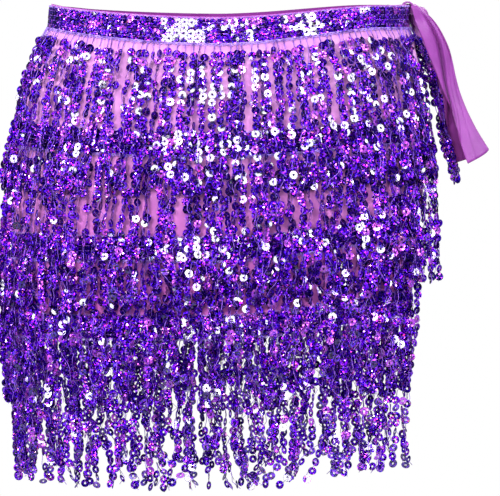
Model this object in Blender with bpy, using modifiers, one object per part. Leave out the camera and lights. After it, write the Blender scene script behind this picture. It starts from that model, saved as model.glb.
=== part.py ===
# Sequin fringe hip scarf, worn: a knit panel wrapped round the hips and tied at one side,
# under four tiers of hanging sequin fringe. Metres, +Z up, the front of the body faces -Y,
# and the tied side is at +X. The origin is the centre of the waist, where it is held.

import math
from collections import namedtuple

import bpy
import bmesh
from mathutils import Vector

# Driving sizes
CLOTH_WALL = 0.0010
TAPE_WALL = 0.0010
HEADER_WALL = 0.0012
TIE_WALL = 0.0014
SEAM_GAP = 0.0003
TAPE_GAP = 0.0005
BAND_HEIGHT = 0.0180
HEADER_HEIGHT = 0.0170
STRAND_LENGTH = 0.1090
STRAND_WIDTH = 0.0078
STRAND_TIP_WIDTH = 0.0056
STRAND_THICKNESS = 0.0018
STRAND_SWAY = 0.0014
FIGURE_RADIUS = 0.1200
TIED_GAP_ANGLE = 4.0
FRONT_DEPTH_RATIO = 0.70
BACK_DEPTH_RATIO = 0.76
RIPPLE_DEPTH = 0.0010
RIPPLE_WAVES = 9
RIPPLE_STARTS = 0.060
RIPPLE_FULL = 0.200

# The general figure that the cloth is pulled over: half its width at each height
FigureRing = namedtuple("FigureRing", "height half_width")
FIGURE = (
    FigureRing(0.030, 0.1283),
    FigureRing(0.014, 0.1283),
    FigureRing(0.000, 0.1290),
    FigureRing(-0.014, 0.1340),
    FigureRing(-0.030, 0.1400),
    FigureRing(-0.050, 0.1450),
    FigureRing(-0.075, 0.1492),
    FigureRing(-0.100, 0.1530),
    FigureRing(-0.130, 0.1570),
    FigureRing(-0.165, 0.1580),
    FigureRing(-0.200, 0.1575),
    FigureRing(-0.222, 0.1565),
    FigureRing(-0.250, 0.1530),
    FigureRing(-0.275, 0.1512),
    FigureRing(-0.300, 0.1500),
    FigureRing(-0.340, 0.1465),
)

# Lines across the wrap, by their height at the front. Each rises by left_rise towards the
# whole side and by slit_rise towards the tied side. front_edge is where the wrap's front
# end lies, in degrees round from the tied side towards the front. stretch is how far the
# knit is pulled along the line.
WrapLine = namedtuple("WrapLine", "height left_rise slit_rise front_edge stretch")
WRAP_LINES = (
    WrapLine(0.0060, 0.0080, 0.0080, 6.0, 1.000),
    WrapLine(-0.0140, 0.0110, 0.0110, 7.0, 1.042),
    WrapLine(-0.0500, 0.0080, 0.0095, 16.0, 1.055),
    WrapLine(-0.0932, 0.0050, 0.0085, 20.5, 1.055),
    WrapLine(-0.1300, 0.0020, 0.0110, 27.0, 1.050),
    WrapLine(-0.1664, -0.0015, 0.0150, 33.0, 1.035),
    WrapLine(-0.2216, -0.0020, 0.0150, 35.0, 1.000),
    WrapLine(-0.3320, 0.0020, 0.0130, 33.0, 1.000),
)
TOP_LINE = 0.0060
BAND_LINE = 0.0040
TAPE_SHARE_OF_BAND = 0.92
RISE_STARTS_AT = 95.0
RISE_ENDS_AT = 35.0

# Fringe tiers: where the header's lower edge runs, how tall the header is, how many
# strands hang from it, and how far the end strands lean away from the slit
Tier = namedtuple("Tier", "name line header_height strands end_lean")
TIERS = (
    Tier("fringe_tier_1", -0.0140, BAND_HEIGHT, 56, 12.0),
    Tier("fringe_tier_2", -0.0932, HEADER_HEIGHT, 52, 5.0),
    Tier("fringe_tier_3", -0.1664, HEADER_HEIGHT, 50, 2.0),
    Tier("fringe_tier_4", -0.2216, HEADER_HEIGHT, 50, 0.0),
)
STRAND_SHARE_OF_PITCH = 0.5
LEAN_FADES_IN = 11.0
SIDE_STRANDS_REACH = 12.0
BACK_PARTING_LEAN = 9.0

# How far a strand's middle stands off the panel: lying on it, over the next header, past
# that header, and at its tip. STATION_LEAD is how far before or after the header it changes.
LYING_OFFSET = 0.0015
OVER_HEADER_OFFSET = 0.0030
PAST_HEADER_OFFSET = 0.0044
TIP_OFFSET = 0.0054
FIRST_STATION = 0.15
MIDDLE_STATION = 0.50
STATION_LEAD = 0.03
STRAND_LENGTH_SPREAD = 0.03

# The tie's folded tail, from under the knot to its hem: the height of the fold at its
# spine, and where the spine and the two free edges lie. Its two leaves stand spread apart.
TailRow = namedtuple("TailRow", "height spine_x front_x rear_x spread")
TAIL_ROWS = (
    TailRow(-0.0058, 0.1512, 0.1355, 0.1372, 0.0030),
    TailRow(-0.0130, 0.1556, 0.1396, 0.1420, 0.0040),
    TailRow(-0.0215, 0.1590, 0.1422, 0.1460, 0.0045),
    TailRow(-0.0359, 0.1616, 0.1487, 0.1505, 0.0045),
    TailRow(-0.0496, 0.1652, 0.1540, 0.1535, 0.0048),
    TailRow(-0.0625, 0.1703, 0.1614, 0.1570, 0.0055),
    TailRow(-0.0769, 0.1775, 0.1656, 0.1592, 0.0066),
    TailRow(-0.0908, 0.1863, 0.1712, 0.1624, 0.0078),
)
TAIL_HEM_DROP = 0.0100
TAIL_HEM_DROP_STARTS = 0.55
TAIL_DEPTH_PLACE = -0.0050
LEAF_COLUMNS = 4
LEAF_FULLNESS = 0.8
REAR_TAIL_SPLAY = 0.0240
REAR_TAIL_SPLAY_AT_TOP = 0.38
REAR_TAIL_LENGTH = 0.88

KNOT_ANGLE = 1.0
KNOT_HALF_SIZE = (0.0062, 0.0095, 0.0085)
KNOT_HEIGHT = 0.0035
KNOT_CAGE_SCALE = 1.20
KNOT_SEAT_GAP = 0.0006
LOOP_WIDTH = 0.0110
LOOP_INNER_REACH = 0.0000
LOOP_TOP_CLEARANCE = 0.0016
LOOP_SIDE_CLEARANCE = 0.0012
LOOP_BENDS = 6

PANEL_COLUMNS = 64
PANEL_ROWS = (TOP_LINE, BAND_LINE, -0.0140, -0.0300, -0.0500, -0.0762, -0.0932, -0.1200,
              -0.1494, -0.1664, -0.2046, -0.2216)
ARC_STEP = 1.5


def between(value, low, high):
    return max(0.0, min(1.0, (value - low) / (high - low)))


def smooth(share):
    return share * share * (3 - 2 * share)


def read_table(rows, height, column):
    # The rows run downwards
    if height >= rows[0].height:
        return getattr(rows[0], column)
    for upper, lower in zip(rows, rows[1:]):
        if height >= lower.height:
            share = (upper.height - height) / (upper.height - lower.height)
            return getattr(upper, column) * (1 - share) + getattr(lower, column) * share
    return getattr(rows[-1], column)


def figure_point(angle, height, offset):
    # The angle runs in degrees from the tied side (+X) by the front (-Y) and round
    turn = math.radians(angle)
    half_width = read_table(FIGURE, height, "half_width")
    ratio = FRONT_DEPTH_RATIO if math.sin(turn) > 0 else BACK_DEPTH_RATIO
    half_depth = half_width * ratio
    out = Vector((math.cos(turn) / half_width, -math.sin(turn) / half_depth, 0)).normalized()
    flare = smooth(between(-height, RIPPLE_STARTS, RIPPLE_FULL))
    stand_off = offset + RIPPLE_DEPTH * flare * math.sin(RIPPLE_WAVES * turn)
    return Vector((half_width * math.cos(turn), -half_depth * math.sin(turn), height)) + out * stand_off


def out_direction(angle):
    near = figure_point(angle, 0, 0)
    far = figure_point(angle, 0, 0.001)
    return (far - near).normalized()


def from_slit(angle):
    turned = angle % 360
    return min(turned, 360 - turned)


def rise(angle, line):
    to_slit = smooth(1 - between(from_slit(angle), RISE_ENDS_AT, RISE_STARTS_AT))
    to_left = math.cos(math.radians(angle)) ** 2 if from_slit(angle) > 90 else 0
    return (read_table(WRAP_LINES, line, "slit_rise") * to_slit
            + read_table(WRAP_LINES, line, "left_rise") * to_left)


def cloth_point(angle, line, offset):
    return figure_point(angle, line + rise(angle, line), offset)


def arc_lengths(line, first_angle):
    # Running length round the figure, a pair for each step of angle
    pairs = [(first_angle, 0.0)]
    last = figure_point(first_angle, line, 0)
    steps = int(360 / ARC_STEP)
    for step in range(1, steps + 1):
        angle = first_angle + step * ARC_STEP
        here = figure_point(angle, line, 0)
        pairs.append((angle, pairs[-1][1] + (here - last).length))
        last = here
    return pairs


def angle_at_length(pairs, length):
    for (angle_a, length_a), (angle_b, length_b) in zip(pairs, pairs[1:]):
        if length <= length_b:
            return angle_a + (angle_b - angle_a) * (length - length_a) / (length_b - length_a)
    return pairs[-1][0]


def cut_length():
    # The rectangle's length: the way round the waist, less the small gap at the tie
    first = read_table(WRAP_LINES, TOP_LINE, "front_edge")
    pairs = arc_lengths(TOP_LINE, first)
    last = first + 360 - TIED_GAP_ANGLE
    for (angle_a, length_a), (angle_b, length_b) in zip(pairs, pairs[1:]):
        if last <= angle_b:
            return length_a + (length_b - length_a) * (last - angle_a) / (angle_b - angle_a)
    return pairs[-1][1]


CUT_LENGTH = cut_length()
RINGS = {}


def wrap_angle(share, line):
    # The angle at a share of the wrap's length, from its front end round to its back end
    if line not in RINGS:
        RINGS[line] = arc_lengths(line, read_table(WRAP_LINES, line, "front_edge"))
    length = share * CUT_LENGTH * read_table(WRAP_LINES, line, "stretch")
    return angle_at_length(RINGS[line], length)


def new_material(name, color, roughness):
    material = bpy.data.materials.new(name)
    material.use_nodes = True
    shader = material.node_tree.nodes["Principled BSDF"]
    shader.inputs["Base Color"].default_value = (*color, 1)
    shader.inputs["Roughness"].default_value = roughness
    shader.inputs["Metallic"].default_value = 0
    return material


def new_object(name, mesh, material, collection):
    piece = bpy.data.objects.new(name, mesh)
    mesh.materials.append(material)
    collection.objects.link(piece)
    return piece


def grid_mesh(name, rows):
    # Rows of points, joined by quads
    mesh = bpy.data.meshes.new(name)
    bm = bmesh.new()
    made = [[bm.verts.new(point) for point in row] for row in rows]
    for upper, lower in zip(made, made[1:]):
        for column in range(len(upper) - 1):
            bm.faces.new((upper[column], lower[column], lower[column + 1], upper[column + 1]))
    bm.to_mesh(mesh)
    bm.free()
    return mesh


def give_wall(piece, thickness, side):
    wall = piece.modifiers.new("wall", "SOLIDIFY")
    wall.thickness = thickness
    wall.offset = side
    wall.use_even_offset = True


def make_panel(collection, material):
    # Seen from outside the wrap runs to the left, so the rows are walked backwards
    shares = [1 - column / PANEL_COLUMNS for column in range(PANEL_COLUMNS + 1)]
    rows = [[cloth_point(wrap_angle(share, line), line, 0) for share in shares]
            for line in PANEL_ROWS]
    panel = new_object("main_panel", grid_mesh("main_panel", rows), material, collection)
    give_wall(panel, CLOTH_WALL, -1)


def make_waist_tape(collection, material):
    # It lies inside the panel's band, on the panel's own columns
    offset = -(CLOTH_WALL + TAPE_GAP)
    shares = [1 - column / PANEL_COLUMNS for column in range(PANEL_COLUMNS + 1)]
    upper = [cloth_point(wrap_angle(share, BAND_LINE), BAND_LINE, offset) for share in shares]
    foot = [cloth_point(wrap_angle(share, TIERS[0].line), TIERS[0].line, offset) for share in shares]
    lower = [high.lerp(low, TAPE_SHARE_OF_BAND) for high, low in zip(upper, foot)]
    tape = new_object("waist_tape", grid_mesh("waist_tape", [upper, lower]), material, collection)
    give_wall(tape, TAPE_WALL, -1)


def tip_angle(tier, angle, first, last):
    # End strands lean away from the slit; those on the side itself hang straight
    lean = tier.end_lean * math.exp((first - angle) / LEAN_FADES_IN)
    if tier is TIERS[0]:
        behind_side = (360 - SIDE_STRANDS_REACH) - angle
        if behind_side > 0:
            lean -= BACK_PARTING_LEAN * math.exp(-behind_side / LEAN_FADES_IN)
    else:
        lean -= tier.end_lean * math.exp((angle - last) / LEAN_FADES_IN)
    return angle + lean


def strand_stations(index):
    # Pairs of a share of the strand's length and its stand-off there
    tier = TIERS[index]
    if index + 1 == len(TIERS):
        return ((FIRST_STATION, LYING_OFFSET), (MIDDLE_STATION, LYING_OFFSET), (1.0, LYING_OFFSET))
    below = TIERS[index + 1]
    header_top = (tier.line - below.line - below.header_height) / STRAND_LENGTH
    header_foot = (tier.line - below.line) / STRAND_LENGTH
    return ((FIRST_STATION, LYING_OFFSET), (header_top - STATION_LEAD, OVER_HEADER_OFFSET),
            (header_foot + STATION_LEAD, PAST_HEADER_OFFSET), (1.0, TIP_OFFSET))


def strand_length_share(index, strand):
    return 1 - STRAND_LENGTH_SPREAD * math.sin(1.7 * strand + index) ** 2


def sway_angle(index, strand, share):
    # A slow bend from side to side, different for neighbouring strands
    sway = STRAND_SWAY * share * math.sin(2.4 * strand + 1.3 * index + 4.0 * share)
    return math.degrees(sway / FIGURE_RADIUS)


def strand_ring(angle, line, offset, width):
    middle = cloth_point(angle, line, offset)
    out = out_direction(angle)
    along = Vector((-out.y, out.x, 0))
    half = STRAND_THICKNESS / 2
    return (middle - along * width / 2 + out * half, middle + along * width / 2 + out * half,
            middle + along * width / 2 - out * half, middle - along * width / 2 - out * half)


def make_fringe(index, collection, material):
    # A header strip whose lower edge grows a strand at every other column
    tier = TIERS[index]
    inner = SEAM_GAP
    outer = SEAM_GAP + HEADER_WALL
    shares = [0.0]
    for strand in range(tier.strands):
        middle = strand + 0.5
        shares.append((middle - STRAND_SHARE_OF_PITCH / 2) / tier.strands)
        shares.append((middle + STRAND_SHARE_OF_PITCH / 2) / tier.strands)
    shares.append(1.0)
    angles = [wrap_angle(share, tier.line) for share in shares]
    top_line = tier.line + tier.header_height
    bm = bmesh.new()
    columns = []
    for angle in angles:
        corners = [cloth_point(angle, top_line, outer), cloth_point(angle, top_line, inner),
                   cloth_point(angle, tier.line, outer), cloth_point(angle, tier.line, inner)]
        columns.append([bm.verts.new(corner) for corner in corners])
    for place, (here, there) in enumerate(zip(columns, columns[1:])):
        bm.faces.new((here[0], here[2], there[2], there[0]))
        bm.faces.new((here[1], there[1], there[3], here[3]))
        bm.faces.new((here[0], there[0], there[1], here[1]))
        if place % 2 == 0:
            bm.faces.new((here[2], here[3], there[3], there[2]))
    for end in (columns[0], columns[-1]):
        bm.faces.new((end[0], end[1], end[3], end[2]))
    for strand in range(tier.strands):
        left = columns[2 * strand + 1]
        right = columns[2 * strand + 2]
        root = (angles[2 * strand + 1] + angles[2 * strand + 2]) / 2
        tip = tip_angle(tier, root, angles[0], angles[-1])
        upper = [left[2], right[2], right[3], left[3]]
        for share, offset in strand_stations(index):
            reach = share * STRAND_LENGTH * strand_length_share(index, strand)
            angle = root + (tip - root) * smooth(share) + sway_angle(index, strand, share)
            width = STRAND_WIDTH + (STRAND_TIP_WIDTH - STRAND_WIDTH) * share
            ring = [bm.verts.new(point)
                    for point in strand_ring(angle, tier.line - reach, offset, width)]
            ring = [ring[1], ring[0], ring[3], ring[2]]
            for side in range(4):
                after = (side + 1) % 4
                bm.faces.new((upper[side], upper[after], ring[after], ring[side]))
            upper = ring
        bm.faces.new(upper)
    bmesh.ops.recalc_face_normals(bm, faces=bm.faces)
    mesh = bpy.data.meshes.new(tier.name)
    bm.to_mesh(mesh)
    bm.free()
    new_object(tier.name, mesh, material, collection)


def tail_points(row, share_down, splay):
    # One row of the folded tail: rear leaf, spine, front leaf
    drop = TAIL_HEM_DROP * smooth(between(share_down, TAIL_HEM_DROP_STARTS, 1))
    splayed = REAR_TAIL_SPLAY_AT_TOP + (1 - REAR_TAIL_SPLAY_AT_TOP) * share_down
    spine_y = TAIL_DEPTH_PLACE + splay * splayed
    points = []
    for column in range(-LEAF_COLUMNS, LEAF_COLUMNS + 1):
        along = abs(column) / LEAF_COLUMNS
        edge_x = row.front_x if column > 0 else row.rear_x
        toward = -1 if column > 0 else 1
        x = row.spine_x + (edge_x - row.spine_x) * (1 - math.cos(along * math.pi / 2)) ** LEAF_FULLNESS
        y = spine_y + toward * row.spread * math.sin(along * math.pi / 2)
        points.append(Vector((x, y, row.height - drop * along)))
    return points


def make_tail(name, splay, length, collection, material):
    last = TAIL_ROWS[-1].height
    first = TAIL_ROWS[0].height
    rows = []
    for row in TAIL_ROWS:
        share_down = (first - row.height) / (first - last)
        points = tail_points(row, share_down, splay)
        rows.append([Vector((p.x, p.y, first + (p.z - first) * length)) for p in points])
    tail = new_object(name, grid_mesh(name, rows), material, collection)
    give_wall(tail, TIE_WALL, 0)


def make_knot(collection, material):
    mesh = bpy.data.meshes.new("tie_knot")
    bm = bmesh.new()
    bmesh.ops.create_cube(bm, size=2)
    seat = figure_point(KNOT_ANGLE, KNOT_HEIGHT, SEAM_GAP + HEADER_WALL + SEAM_GAP)
    for vert in bm.verts:
        # Subdivision draws a cage in, so the cage is larger than the knot
        vert.co = Vector([vert.co[axis] * KNOT_HALF_SIZE[axis] * KNOT_CAGE_SCALE for axis in range(3)])
        vert.co += seat + Vector((KNOT_HALF_SIZE[0] + KNOT_SEAT_GAP, 0, 0))
    bm.to_mesh(mesh)
    bm.free()
    knot = new_object("tie_knot", mesh, material, collection)
    soft = knot.modifiers.new("soft", "SUBSURF")
    soft.levels = 3
    soft.render_levels = 3


def make_tie_loop(collection, material):
    # The tie's strap from inside the waist, over its top edge, down to the knot
    half = TIE_WALL / 2
    inside = CLOTH_WALL + TAPE_GAP + TAPE_WALL + SEAM_GAP + half + LOOP_SIDE_CLEARANCE
    outside = SEAM_GAP + HEADER_WALL + SEAM_GAP + half
    top = TOP_LINE + rise(KNOT_ANGLE, TOP_LINE) + LOOP_TOP_CLEARANCE + half
    inner_x = figure_point(KNOT_ANGLE, 0, -inside).x
    outer_x = figure_point(KNOT_ANGLE, 0, outside).x
    middle_x = (inner_x + outer_x) / 2
    radius = (outer_x - inner_x) / 2
    path = [(inner_x, LOOP_INNER_REACH), (inner_x, top - radius)]
    for bend in range(1, LOOP_BENDS):
        turn = math.pi * bend / LOOP_BENDS
        path.append((middle_x - radius * math.cos(turn), top - radius + radius * math.sin(turn)))
    path.append((outer_x, top - radius))
    middle_y = figure_point(KNOT_ANGLE, 0, 0).y
    rows = [[Vector((x, middle_y + side * LOOP_WIDTH / 2, z)) for side in (-1, 1)] for x, z in path]
    loop = new_object("tie_loop", grid_mesh("tie_loop", rows), material, collection)
    give_wall(loop, TIE_WALL, 0)


def main():
    for old in list(bpy.data.objects):
        bpy.data.objects.remove(old, do_unlink=True)
    scarf = bpy.data.collections.new("belly_dance_hip_scarf")
    bpy.context.scene.collection.children.link(scarf)
    base_knit = new_material("base_knit", (0.62, 0.26, 0.70), 0.75)
    tie_knit = new_material("tie_knit", (0.38, 0.07, 0.42), 0.60)
    sequin_fringe = new_material("sequin_fringe", (0.16, 0.03, 0.55), 0.30)
    make_panel(scarf, base_knit)
    make_waist_tape(scarf, tie_knit)
    for index in range(len(TIERS)):
        make_fringe(index, scarf, sequin_fringe)
    make_tie_loop(scarf, tie_knit)
    make_knot(scarf, tie_knit)
    make_tail("tie_tail_front", 0.0, 1.0, scarf, tie_knit)
    make_tail("tie_tail_rear", REAR_TAIL_SPLAY, REAR_TAIL_LENGTH, scarf, tie_knit)


main()
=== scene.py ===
import math

import bmesh
import bpy
import numpy as np
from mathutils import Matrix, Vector


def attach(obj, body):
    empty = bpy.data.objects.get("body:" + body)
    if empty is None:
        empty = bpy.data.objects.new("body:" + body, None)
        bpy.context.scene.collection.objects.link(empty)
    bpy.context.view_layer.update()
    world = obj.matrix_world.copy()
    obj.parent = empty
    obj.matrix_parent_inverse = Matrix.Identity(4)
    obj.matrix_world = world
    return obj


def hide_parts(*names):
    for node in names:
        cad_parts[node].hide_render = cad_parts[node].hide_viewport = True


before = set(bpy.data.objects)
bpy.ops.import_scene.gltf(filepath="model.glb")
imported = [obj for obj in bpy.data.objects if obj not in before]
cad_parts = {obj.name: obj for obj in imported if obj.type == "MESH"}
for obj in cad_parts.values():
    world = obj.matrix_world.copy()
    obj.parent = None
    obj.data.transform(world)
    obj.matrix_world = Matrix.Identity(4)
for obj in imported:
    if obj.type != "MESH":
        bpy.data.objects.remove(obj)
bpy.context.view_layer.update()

# A worn hip scarf: jersey panel, waist tape and tie, and four tiers of strung sequin fringe.
# Metres, +Z up, front towards -Y, the tied side at +X, origin at the centre of the waist.

scene = bpy.context.scene
print("frame loaded,", len(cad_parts), "nodes")

# The figure under the cloth and the lines across the wrap, as in the frame's solids
figure = {
    "heights": [0.030, 0.014, 0.000, -0.014, -0.030, -0.050, -0.075, -0.100, -0.130, -0.165,
                -0.200, -0.222, -0.250, -0.275, -0.300, -0.340],
    "halfWidths": [0.1283, 0.1283, 0.1290, 0.1340, 0.1400, 0.1450, 0.1492, 0.1530, 0.1570, 0.1580,
                   0.1575, 0.1565, 0.1530, 0.1512, 0.1500, 0.1465],
    "frontDepth": 0.70,
    "backDepth": 0.76,
    "rippleDepth": 0.0010,
    "rippleWaves": 9,
    "rippleStarts": 0.060,
    "rippleFull": 0.200,
    "meanRadius": 0.120,
    "angleStep": 1.5,
}
wrapLines = {
    "line": [0.0060, -0.0140, -0.0500, -0.0932, -0.1300, -0.1664, -0.2216, -0.3320],
    "leftRise": [0.0080, 0.0110, 0.0080, 0.0050, 0.0020, -0.0015, -0.0020, 0.0020],
    "slitRise": [0.0080, 0.0110, 0.0095, 0.0085, 0.0110, 0.0150, 0.0150, 0.0130],
    "frontEdge": [6.0, 7.0, 16.0, 20.5, 27.0, 33.0, 35.0, 33.0],
    "stretch": [1.000, 1.042, 1.055, 1.055, 1.050, 1.035, 1.000, 1.000],
    "riseStarts": 95.0,
    "riseEnds": 35.0,
    "topLine": 0.0060,
    "bandLine": 0.0040,
    "tiedGap": 4.0,
}


def smoothStep(share):
    share = np.clip(share, 0, 1)
    return share * share * (3 - 2 * share)


def readDown(values, heights, height):
    return np.interp(-np.asarray(height, float), [-h for h in heights], values)


def wrapValue(name, line):
    return readDown(wrapLines[name], wrapLines["line"], line)


def outDirection(angle):
    turn = np.radians(angle)
    depth = np.where(np.sin(turn) > 0, figure["frontDepth"], figure["backDepth"])
    out = np.stack([np.cos(turn), -np.sin(turn) / depth, np.zeros_like(turn)], axis=-1)
    return out / np.linalg.norm(out, axis=-1, keepdims=True)


def figurePoint(angle, height, offset):
    # angle in degrees from the tied side by the front and round
    given = [np.asarray(value, float) for value in (angle, height, offset)]
    angle, height, offset = np.broadcast_arrays(*given)
    turn = np.radians(angle)
    depth = np.where(np.sin(turn) > 0, figure["frontDepth"], figure["backDepth"])
    half = readDown(figure["halfWidths"], figure["heights"], height)
    flare = smoothStep((-height - figure["rippleStarts"]) / (figure["rippleFull"] - figure["rippleStarts"]))
    stand = offset + figure["rippleDepth"] * flare * np.sin(figure["rippleWaves"] * turn)
    base = np.stack([half * np.cos(turn), -half * depth * np.sin(turn), height], axis=-1)
    return base + outDirection(angle) * stand[..., None]


def lineRise(angle, line):
    turned = np.asarray(angle, float) % 360
    fromSlit = np.minimum(turned, 360 - turned)
    span = wrapLines["riseStarts"] - wrapLines["riseEnds"]
    toSlit = smoothStep(1 - (fromSlit - wrapLines["riseEnds"]) / span)
    toLeft = np.where(fromSlit > 90, np.cos(np.radians(turned)) ** 2, 0)
    return wrapValue("slitRise", line) * toSlit + wrapValue("leftRise", line) * toLeft


def clothPoint(angle, line, offset):
    return figurePoint(angle, line + lineRise(angle, line), offset)


def arcRun(line):
    # angles round the figure from the wrap's front end, and the length run to each
    step = figure["angleStep"]
    angles = wrapValue("frontEdge", line) + np.arange(0, 360 + step, step)
    points = figurePoint(angles, line, 0)
    steps = np.linalg.norm(np.diff(points, axis=0), axis=1)
    return angles, np.concatenate([[0], np.cumsum(steps)])


topAngles, topRun = arcRun(wrapLines["topLine"])
cutLength = float(np.interp(topAngles[0] + 360 - wrapLines["tiedGap"], topAngles, topRun))


def wrapAngle(share, line):
    angles, run = arcRun(line)
    return np.interp(np.asarray(share) * cutLength * wrapValue("stretch", line), run, angles)


def turnAbout(vectors, axes, angles):
    # each vector turned about its own axis by its own angle
    cos, sin = np.cos(angles)[..., None], np.sin(angles)[..., None]
    along = np.sum(vectors * axes, axis=-1, keepdims=True)
    return vectors * cos + np.cross(axes, vectors) * sin + axes * along * (1 - cos)


# Nodes and materials

def setInputs(tree, node, inputs):
    # a value or another node's socket for each input, by its name or number
    for place, value in inputs.items():
        if isinstance(value, bpy.types.NodeSocket):
            tree.links.new(value, node.inputs[place])
        else:
            node.inputs[place].default_value = value


def addNode(tree, kind, inputs=None, **settings):
    node = tree.nodes.new(kind)
    for name, value in settings.items():
        setattr(node, name, value)
    setInputs(tree, node, inputs or {})
    return node


def mixColour(tree, mask, first, second, blend="MIX"):
    # mask is a number or a socket, first and second are colours or sockets
    colours = [(*value, 1) if isinstance(value, tuple) else value for value in (first, second)]
    inputs = {0: mask, 6: colours[0], 7: colours[1]}
    return addNode(tree, "ShaderNodeMix", inputs, data_type="RGBA", blend_type=blend).outputs[2]


def colourRamp(tree, factor, stops):
    # a stop is a place and a colour, or a place and one number for a grey
    node = addNode(tree, "ShaderNodeValToRGB", {0: factor})
    ramp = node.color_ramp
    while len(ramp.elements) < len(stops):
        ramp.elements.new(0.5)
    for element, (place, colour) in zip(ramp.elements, stops):
        element.position = place
        element.color = (*colour, 1) if isinstance(colour, tuple) else (colour, colour, colour, 1)
    return node.outputs[0]


def startMaterial(name):
    material = bpy.data.materials.new(name)
    material.use_nodes = True
    tree = material.node_tree
    return material, tree, tree.nodes["Principled BSDF"]


def knitGroup():
    # Fine jersey: columns of small loops, from a UV map in metres
    tree = bpy.data.node_groups.new("jerseyKnit", "ShaderNodeTree")
    face = tree.interface
    face.new_socket("Loops per metre", in_out="INPUT", socket_type="NodeSocketFloat")
    for label, kind in (("Height", "Float"), ("Mottle", "Float"), ("Place", "Vector")):
        face.new_socket(label, in_out="OUTPUT", socket_type="NodeSocket" + kind)
    entry = addNode(tree, "NodeGroupInput")
    place = addNode(tree, "ShaderNodeUVMap", uv_map="cloth").outputs[0]
    scaled = addNode(tree, "ShaderNodeVectorMath", {0: place, 3: entry.outputs[0]}, operation="SCALE")
    loops = scaled.outputs[0]
    columns = addNode(tree, "ShaderNodeTexWave", {
        "Vector": loops, "Scale": 0.32, "Distortion": 1.2, "Detail Scale": 1.0,
    }, wave_type="BANDS", bands_direction="X")
    rows = addNode(tree, "ShaderNodeTexWave", {
        "Vector": loops, "Scale": 0.42, "Distortion": 1.5,
    }, wave_type="BANDS", bands_direction="Y")
    blend = addNode(tree, "ShaderNodeMath", {
        0: rows.outputs[1], 1: 0.45, 2: columns.outputs[1],
    }, operation="MULTIPLY_ADD")
    mottle = addNode(tree, "ShaderNodeTexNoise", {"Vector": place, "Scale": 60, "Detail": 4})
    addNode(tree, "NodeGroupOutput", {0: blend.outputs[0], 1: mottle.outputs[0], 2: place})
    return tree


jerseyKnit = knitGroup()


def knitMaterial(name, look):
    material, tree, shader = startMaterial(name)
    knit = addNode(tree, "ShaderNodeGroup", {0: look["loopsPerMetre"]}, node_tree=jerseyKnit)
    height, mottle, place = knit.outputs
    ground = colourRamp(tree, mottle, [(0.3, look["dark"]), (0.7, look["light"])])
    if "lowShade" in look:
        # painted shade: deeper and darker in colour below the waist, for the shade among the fringe, and
        # dark along the top edge, where the wrap's inside is in shade
        upward = addNode(tree, "ShaderNodeSeparateXYZ", {0: place}).outputs["Y"]
        for shade in ("lowShade", "edge"):
            share = addNode(tree, "ShaderNodeMapRange", {
                "Value": upward, "From Min": look[shade + "From"], "From Max": look[shade + "To"]})
            ground = mixColour(tree, share.outputs[0], ground, look[shade])
    groove = colourRamp(tree, height, [(0.0, 0.62), (0.8, 1)])
    bump = addNode(tree, "ShaderNodeBump", {"Strength": look["bump"], "Distance": 0.0003, "Height": height})
    setInputs(tree, shader, {
        "Base Color": mixColour(tree, look["grooveShade"], ground, groove, "MULTIPLY"),
        "Roughness": look["roughness"],
        "Specular IOR Level": look["specular"],
        "Sheen Weight": look["sheen"],
        "Sheen Roughness": 0.4,
        "Sheen Tint": (*look["sheenTint"], 1),
        "Normal": bump.outputs[0],
    })
    return material


panelKnit = knitMaterial("panelKnit", {
    "roughness": 0.75, "loopsPerMetre": 2200, "dark": (0.46, 0.172, 0.47), "light": (0.60, 0.278, 0.61),
    # Painted shade: the colour below the waist deeper and darker, for the shade among the fringe, and the
    # top edge dark, for the shade of the wrap's inside
    "lowShade": (0.44, 0.092, 0.41), "lowShadeFrom": -0.03, "lowShadeTo": -0.19,
    "edge": (0.27, 0.055, 0.31), "edgeFrom": 0.0030, "edgeTo": 0.0044,
    "grooveShade": 0.5, "bump": 0.35, "sheen": 0.25, "sheenTint": (0.9, 0.6, 1.0), "specular": 0.25,
})
# The panel's matte reverse, its colour darkened as painted shade inside the wrap
panelReverseShaded = knitMaterial("panelReverseShaded", {
    "roughness": 0.85, "loopsPerMetre": 2200, "dark": (0.13, 0.022, 0.155), "light": (0.17, 0.034, 0.20),
    "grooveShade": 0.5, "bump": 0.35, "sheen": 0.05, "sheenTint": (0.8, 0.4, 0.9), "specular": 0.1,
})
# The waist tape: the same knit, its colour darkened as painted shade of the wrap's inside
tapeKnitShaded = knitMaterial("tapeKnitShaded", {
    "roughness": 0.75, "loopsPerMetre": 2600, "dark": (0.090, 0.007, 0.105), "light": (0.120, 0.012, 0.138),
    "grooveShade": 0.35, "bump": 0.25, "sheen": 0.05, "sheenTint": (0.8, 0.4, 0.9), "specular": 0.12,
})
tieKnit = knitMaterial("tieKnit", {
    "roughness": 0.5, "loopsPerMetre": 2600, "dark": (0.150, 0.0155, 0.186), "light": (0.212, 0.027, 0.255),
    "grooveShade": 0.35, "bump": 0.22, "sheen": 0.3, "sheenTint": (0.95, 0.55, 1.0), "specular": 0.45,
})
# The tie's matte reverse, its colour darker as painted shade inside the tails' fold
tieReverseShaded = knitMaterial("tieReverseShaded", {
    "roughness": 0.8, "loopsPerMetre": 2600, "dark": (0.133, 0.012, 0.151), "light": (0.173, 0.020, 0.191),
    "grooveShade": 0.35, "bump": 0.25, "sheen": 0.1, "sheenTint": (0.8, 0.5, 0.9), "specular": 0.25,
})


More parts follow.
